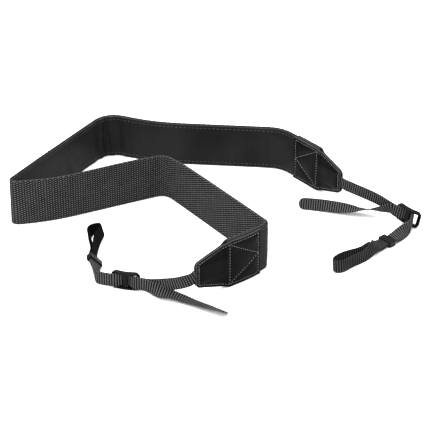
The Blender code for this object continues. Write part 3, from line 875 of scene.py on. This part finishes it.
def spine_height(distance, end):
    """The height of the narrow webbing's middle, from the tab down to the tri-glide and the loop."""
    lead, drop = end.lead.length, end.drop.length
    first, last = keeper_span(end)
    glide, pitch = glide_height(end), math.tan(math.radians(end.pitch))
    if distance <= lead:
        slope = math.tan(math.radians(end.slope))
        run = lead - GLIDE_LENGTH / 2
        share = min(distance / run, 1.0)
        past = max(distance - run, 0.0)
        entry = glide - pitch * GLIDE_LENGTH / 2
        return between(share, BAND_WIDTH / 2, slope, entry, pitch, run) + pitch * past
    keeper = resting_height(
        spine_lean(first, end), KEEPER_INSIDE / 2 + KEEPER_WALL, KEEPER_DEPTH / 2 + KEEPER_WALL
    )
    lean = spine_lean(distance, end)
    if distance <= last:
        fall = between(min((distance - lead) / drop, 1.0), glide, pitch, keeper, 0.0, drop)
        return max(fall, resting_height(lean, NARROW_WIDTH / 2, STACK_THICK / 2))
    share = (distance - last) / end.loop.length
    reach = max((end.bulge + NARROW_THICK) / 2 * smooth(LOOP_REACH_RATE * share), STACK_THICK / 2)
    rest = resting_height(lean, NARROW_WIDTH / 2, reach)
    return max(rest, keeper + (rest - keeper) * smooth(LOOP_REST_RATE * share))


def spine_frame(course, distance, end, offset):
    """A point at an offset from the spine, and the direction across the webbing there."""
    left = side_of(course.heading(distance))
    lean = spine_lean(distance, end)
    aside = Vector((left.x * math.cos(lean), left.y * math.cos(lean), -math.sin(lean)))
    upward = Vector((left.x * math.sin(lean), left.y * math.sin(lean), math.cos(lean)))
    level = course.point(distance)
    middle = Vector((level.x, level.y, spine_height(distance, end)))
    return middle + aside * offset, upward


def loop_widest(late):
    """The most that the loop's opening curve comes to, from how late it opens."""
    share = late / (late + LOOP_BLUNT / 2)
    return share ** (late / LOOP_BLUNT) * math.sqrt(1.0 - share)


def narrow_frames(end, near):
    """Middle points and cross directions of a narrow webbing, from its seam to the tip of its tail."""
    frames = []
    for place in even(0.0, NARROW_SEAM):
        distance = NARROW_SEAM - place
        station = band_station(distance if near else BAND_LENGTH - distance)
        frames.append((band_place(station, 0.0, BAND_WIDTH / 2), Vector((0, 0, 1))))
    at = 0.0 if near else BAND_LENGTH
    heading = band.heading(at) + (math.pi if near else 0.0)
    stretches = (end.lead, end.drop, Stretch(KEEPER_RUN, ()), end.loop)
    spine = Course(band.point(at), heading, stretches)
    lead, loop = end.lead.length, end.loop.length
    _, last = keeper_span(end)
    half = LAYER_PITCH / 2
    for place in even(0.0, last)[1:]:
        apart = half * smooth(place / (lead - GLIDE_LENGTH))
        frames.append(spine_frame(spine, place, end, end.side * (wave(place, end) - apart)))
    for share in (1.0 - i / LOOP_STEPS for i in range(1, 2 * LOOP_STEPS)):
        reach = 1.0 - abs(share) ** 3
        opened = (end.bulge - NARROW_THICK) / 2 / loop_widest(end.late) * reach**end.late
        spread = (half + opened) * math.sqrt(1.0 - reach**LOOP_BLUNT)
        offset = math.copysign(spread, -share * end.side)
        frames.append(spine_frame(spine, last + loop * reach, end, offset))
    leave = lead - GLIDE_LENGTH / 2 - GLIDE_END_BAR / 2
    for place in reversed(even(leave, last)):
        frames.append(spine_frame(spine, place, end, end.side * (wave(place, end) + half)))
    start, before = frames[-1][0], frames[-3][0]
    run = start - before
    tail = Course(start.xy, math.atan2(run.y, run.x), (end.tail,))
    above = start.z - end.tail_rises[0].value * NARROW_WIDTH
    for place in even(0.0, end.tail.length)[1:]:
        share = place / end.tail.length
        lean = math.radians(read(end.tail_leans, share))
        height = read(end.tail_rises, share) * NARROW_WIDTH
        height += above * (1.0 - smooth(TAIL_REST_RATE * share))
        height = max(height, resting_height(lean, NARROW_WIDTH / 2, NARROW_THICK / 2))
        left = side_of(tail.heading(place))
        level = tail.point(place)
        upward = Vector((left.x * math.sin(lean), left.y * math.sin(lean), math.cos(lean)))
        frames.append((Vector((level.x, level.y, height)), upward))
    return frames


def resample(frames, step):
    """The frames at even steps along the line, and the line's length."""
    reached = [0.0]
    for (before, _), (after, _) in zip(frames, frames[1:]):
        reached.append(reached[-1] + (after - before).length)
    length = reached[-1]
    made = []
    index = 0
    for place in even(0.0, length, step):
        while index < len(frames) - 2 and reached[index + 1] < place:
            index += 1
        span = max(reached[index + 1] - reached[index], LEAST_STEP)
        share = min((place - reached[index]) / span, 1.0)
        middle = frames[index][0].lerp(frames[index + 1][0], share)
        made.append((middle, frames[index][1].lerp(frames[index + 1][1], share)))
    return made, length


def add_narrow(end, near, finish):
    """The narrow webbing with its ribs, painted light on the raised ribs and painted shade between
    them, a painted shadow round the loop, and its tail's end rounded.
    """
    frames, length = resample(narrow_frames(end, near), RIB_PITCH / RIB_STEPS)
    _, last = keeper_span(end)
    leave = end.lead.length - GLIDE_LENGTH / 2 - GLIDE_END_BAR / 2
    loop_start = NARROW_SEAM + last
    loop_end = length - end.tail.length - (last - leave)
    step = length / (len(frames) - 1)
    columns = 2 * RIB_YARNS
    rings, tones = [], []
    for i, (middle, upward) in enumerate(frames):
        after = frames[min(i + 1, len(frames) - 1)][0]
        before = frames[max(i - 1, 0)][0]
        run = (after - before).normalized()
        across = (upward - run * upward.dot(run)).normalized()
        out = run.cross(across)
        to_tip = length - i * step
        half = NARROW_WIDTH / 2
        if to_tip < TAIL_ROUND:
            half *= math.sqrt(1.0 - TIP_NARROWING * (1.0 - to_tip / TAIL_ROUND) ** 2)
        rib = math.cos(math.tau * i * step / RIB_PITCH)
        raised = smooth((rib - RIB_RISE_START) / RIB_RISE_SPAN)
        # A painted shadow over the ribs round the loop, fading in from each end of the loop
        inward = min(i * step - loop_start, loop_end - i * step) / LOOP_SHADOW_FADE
        light = 1.0 - (1.0 - LOOP_PAINTED_SHADOW[end.name]) * smooth(inward)
        edge = RIB_EDGE_WAVE * rib
        ring, tone = [], []
        for side in (1, -1):
            for k in range(columns + 1):
                share = side * (1 - 2 * k / columns)
                dip = 1.0 - math.cos(math.pi * k)
                thick = NARROW_THICK / 2 + RIB_PROUD - RIB_DEPTH * (1.0 - raised)
                thick -= RIB_YARN_DEPTH * dip
                if abs(share) > EDGE_SHARE:
                    thick *= EDGE_THINNING
                ring.append(middle + across * share * (half + edge) + out * side * thick)
                # Painted light on the raised ribs, painted shade in the yarn dips, and the loop's
                # painted shadow
                tone.append(light * raised * (1.0 - RIB_YARN_PAINTED_SHADE * dip))
        rings.append(ring)
        tones.append(tone)
    name = f"{end.name}_ribbed_webbing"
    node = f"{end.name}_narrow_webbing"
    made = facing_out(shell(name, rings, tones, finish, node))
    return made


# Materials


def new_finish(name, roughness, specular):
    """A material with its nodes, links and main shader."""
    made = bpy.data.materials.new(name)
    made.use_nodes = True
    nodes = made.node_tree.nodes
    shader = nodes["Principled BSDF"]
    shader.inputs["Roughness"].default_value = roughness
    shader.inputs["Specular IOR Level"].default_value = specular
    return made, nodes, made.node_tree.links, shader


def blend_colours(nodes, links, factor, first, second):
    """A colour between two, each a socket or a colour."""
    mix = nodes.new("ShaderNodeMix")
    mix.data_type = "RGBA"
    links.new(factor, mix.inputs["Factor"])
    for socket, value in (("A", first), ("B", second)):
        target = next(s for s in mix.inputs if s.name == socket and s.type == "RGBA")
        if isinstance(value, tuple):
            target.default_value = (*value, 1.0)
        else:
            links.new(value, target)
    return next(s for s in mix.outputs if s.type == "RGBA")


def tone_socket(nodes):
    """The tone that the skins carry at each point, from 0 to 1: painted light and shade on the
    webbings, paler cut edges on the lining and the leather.
    """
    tone = nodes.new("ShaderNodeAttribute")
    tone.attribute_name = "tone"
    return tone.outputs["Fac"]


def noise_socket(nodes, links, scale):
    """A noise from 0 to 1 in the part's own space, with its contrast raised."""
    place = nodes.new("ShaderNodeTexCoord")
    cloud = nodes.new("ShaderNodeTexNoise")
    cloud.inputs["Scale"].default_value = scale
    cloud.inputs["Detail"].default_value = CLOUD_DETAIL
    links.new(place.outputs["Object"], cloud.inputs["Vector"])
    span = nodes.new("ShaderNodeMapRange")
    span.inputs["From Min"].default_value = CLOUD_LOW
    span.inputs["From Max"].default_value = CLOUD_HIGH
    links.new(cloud.outputs["Fac"], span.inputs["Value"])
    return span.outputs["Result"]


def add_bump(nodes, links, shader, height, strength, depth):
    """Fine relief from a height socket."""
    bump = nodes.new("ShaderNodeBump")
    bump.inputs["Strength"].default_value = strength
    bump.inputs["Distance"].default_value = depth
    links.new(height, bump.inputs["Height"])
    links.new(bump.outputs["Normal"], shader.inputs["Normal"])


def varied_roughness(nodes, links, shader, factor, low, high):
    """Roughness between two values, as a factor socket has it."""
    span = nodes.new("ShaderNodeMapRange")
    span.inputs["To Min"].default_value = low
    span.inputs["To Max"].default_value = high
    links.new(factor, span.inputs["Value"])
    links.new(span.outputs["Result"], shader.inputs["Roughness"])


def grey(level):
    """A neutral colour."""
    return (level, level, level)


def woven_finish(name, sunk, raised, worn, roughness):
    """Yarn with painted shade between its threads and painted light where it rises, taken from the
    skin's
    tone: sunk is the painted shade's colour and raised the painted light's, with a fine fuzz.
    """
    roughness_swing = 0.08
    fuzz_light = 0.72
    made, nodes, links, shader = new_finish(name, roughness, specular=0.03)
    fuzz = noise_socket(nodes, links, scale=2600.0)
    patch = noise_socket(nodes, links, scale=90.0)
    light = blend_colours(nodes, links, patch, grey(raised), grey(worn))
    light = blend_colours(nodes, links, fuzz, light, grey(fuzz_light * raised))
    colour = blend_colours(nodes, links, tone_socket(nodes), grey(sunk), light)
    links.new(colour, shader.inputs["Base Color"])
    low, high = roughness - roughness_swing, roughness + roughness_swing
    varied_roughness(nodes, links, shader, fuzz, low, high)
    add_bump(nodes, links, shader, fuzz, strength=0.35, depth=0.12 * MM)
    return made


def lining_finish():
    """Smooth coated cloth with a faint grain, greyer along its cut edges."""
    dark, light, cut_edge = (0.0045, 0.0045, 0.0047), (0.0095, 0.0095, 0.0099), (0.032, 0.032, 0.033)
    made, nodes, links, shader = new_finish("lining_coated_cloth", roughness=0.50, specular=0.065)
    grain = noise_socket(nodes, links, scale=1500.0)
    patch = noise_socket(nodes, links, scale=24.0)
    colour = blend_colours(nodes, links, patch, dark, light)
    colour = blend_colours(nodes, links, tone_socket(nodes), colour, cut_edge)
    links.new(colour, shader.inputs["Base Color"])
    varied_roughness(nodes, links, shader, grain, low=0.50, high=0.64)
    add_bump(nodes, links, shader, grain, strength=0.20, depth=0.06 * MM)
    return made


def leather_finish():
    """Black leather with a pebbled grain, greyer along its cut edges."""
    dark, light, cut_edge = (0.0005, 0.0005, 0.0005), (0.0024, 0.0024, 0.0025), (0.045, 0.044, 0.043)
    made, nodes, links, shader = new_finish("tab_leather", roughness=0.40, specular=0.034)
    place = nodes.new("ShaderNodeTexCoord")
    pebble = nodes.new("ShaderNodeTexVoronoi")
    pebble.inputs["Scale"].default_value = 1300.0
    links.new(place.outputs["Object"], pebble.inputs["Vector"])
    patch = noise_socket(nodes, links, scale=70.0)
    colour = blend_colours(nodes, links, patch, dark, light)
    colour = blend_colours(nodes, links, tone_socket(nodes), colour, cut_edge)
    links.new(colour, shader.inputs["Base Color"])
    varied_roughness(nodes, links, shader, patch, low=0.34, high=0.52)
    add_bump(nodes, links, shader, pebble.outputs["Distance"], strength=0.25, depth=0.10 * MM)
    return made


def plastic_finish():
    """Moulded black plastic with a slight texture and worn gloss."""
    dark, light = (0.0008, 0.0008, 0.0009), (0.0024, 0.0024, 0.0025)
    made, nodes, links, shader = new_finish("moulded_plastic", roughness=0.34, specular=0.07)
    patch = noise_socket(nodes, links, scale=260.0)
    texture = noise_socket(nodes, links, scale=2400.0)
    links.new(blend_colours(nodes, links, patch, dark, light), shader.inputs["Base Color"])
    varied_roughness(nodes, links, shader, patch, low=0.28, high=0.44)
    add_bump(nodes, links, shader, texture, strength=0.10, depth=0.03 * MM)
    return made


def thread_finish(name, dark, light):
    """Grey sewing thread with its twist."""
    made, nodes, links, shader = new_finish(name, roughness=0.65, specular=0.10)
    twist = noise_socket(nodes, links, scale=1900.0)
    colour = blend_colours(nodes, links, twist, grey(dark), grey(light))
    links.new(colour, shader.inputs["Base Color"])
    add_bump(nodes, links, shader, twist, strength=0.3, depth=0.05 * MM)
    return made


def paint_node(name, finish):
    """Gives a node of the part a finish."""
    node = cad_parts[name]
    node.data.materials.clear()
    node.data.materials.append(finish)


# The studio


def add_floor():
    """The pale floor, a hair below the strap."""
    size = FLOOR_SIZE
    mesh = bpy.data.meshes.new("floor")
    corners = [(-size, -size, 0), (size, -size, 0), (size, size, 0), (-size, size, 0)]
    mesh.from_pydata(corners, [], [(0, 1, 2, 3)])
    floor = bpy.data.objects.new("floor", mesh)
    bpy.context.scene.collection.objects.link(floor)
    floor.location.z = -FLOOR_DROP
    made, _, _, shader = new_finish("pale_floor", roughness=0.9, specular=0.1)
    shader.inputs["Base Color"].default_value = (*grey(0.94), 1.0)
    mesh.materials.append(made)


def add_light(name, place, size, power):
    """A soft square light that looks at the strap."""
    data = bpy.data.lights.new(name, "AREA")
    data.shape = "SQUARE"
    data.size = size
    data.energy = power
    light = bpy.data.objects.new(name, data)
    light.location = place
    light.rotation_euler = (-Vector(place)).to_track_quat("-Z", "Y").to_euler()
    bpy.context.scene.collection.objects.link(light)


def add_studio():
    """White surroundings, a wide light overhead and a smaller one at the front left."""
    world = bpy.data.worlds.new("studio")
    bpy.context.scene.world = world
    world.use_nodes = True
    background = world.node_tree.nodes["Background"]
    background.inputs["Color"].default_value = (*grey(1.0), 1.0)
    background.inputs["Strength"].default_value = 1.1
    add_light("top", place=(-0.2, 0.1, 1.5), size=1.8, power=54.0)
    add_light("key", place=(-0.9, -1.2, 1.1), size=0.9, power=20.0)
    bpy.context.scene.view_settings.view_transform = "Standard"


def add_camera():
    """The camera, aimed from the front at the band's own starting point."""
    pitch = math.radians(CAMERA_PITCH)
    back = Vector((0.0, -math.cos(pitch), math.sin(pitch))) * CAMERA_DISTANCE
    data = bpy.data.cameras.new("camera")
    data.lens = CAMERA_LENS
    data.sensor_width = 36.0
    camera = bpy.data.objects.new("camera", data)
    camera.location = SHIFT + back
    camera.rotation_euler = (math.pi / 2 - pitch, 0.0, 0.0)
    bpy.context.scene.collection.objects.link(camera)
    bpy.context.scene.camera = camera


add_camera()
add_studio()
add_floor()

# The webbings' yarns take painted light and painted shade from their skins' tone
wide_yarn = woven_finish("wide_yarn", sunk=0.0004, raised=0.200, worn=0.270, roughness=0.80)
narrow_yarn = woven_finish("narrow_yarn", sunk=0.0005, raised=0.095, worn=0.135, roughness=0.75)
label_cloth = woven_finish("label_cloth", sunk=0.010, raised=0.016, worn=0.020, roughness=0.8)
leather = leather_finish()
plastic = plastic_finish()
seam_thread = thread_finish("seam_thread", dark=0.06, light=0.30)
lining_thread = thread_finish("lining_thread", dark=0.035, light=0.09)

add_wide_webbing(wide_yarn)
add_lining(lining_finish())
add_lining_stitches(lining_thread)
for end, near in ((BACK, True), (FRONT, False)):
    for side, sign, layers in (("lining", 1, LINING_THICK), ("webbing", -1, WEBBING_THICK)):
        node = f"{end.name}_tab_on_{side}"
        add_tab(f"{end.name}_leather_on_{side}", near, sign, layers, leather, node)
        add_tab_stitches(f"{end.name}_stitches_on_{side}", near, sign, layers, seam_thread)
    add_narrow(end, near, narrow_yarn)
    paint_node(f"{end.name}_tri_glide", plastic)
    paint_node(f"{end.name}_keeper", plastic)
paint_node("label", label_cloth)
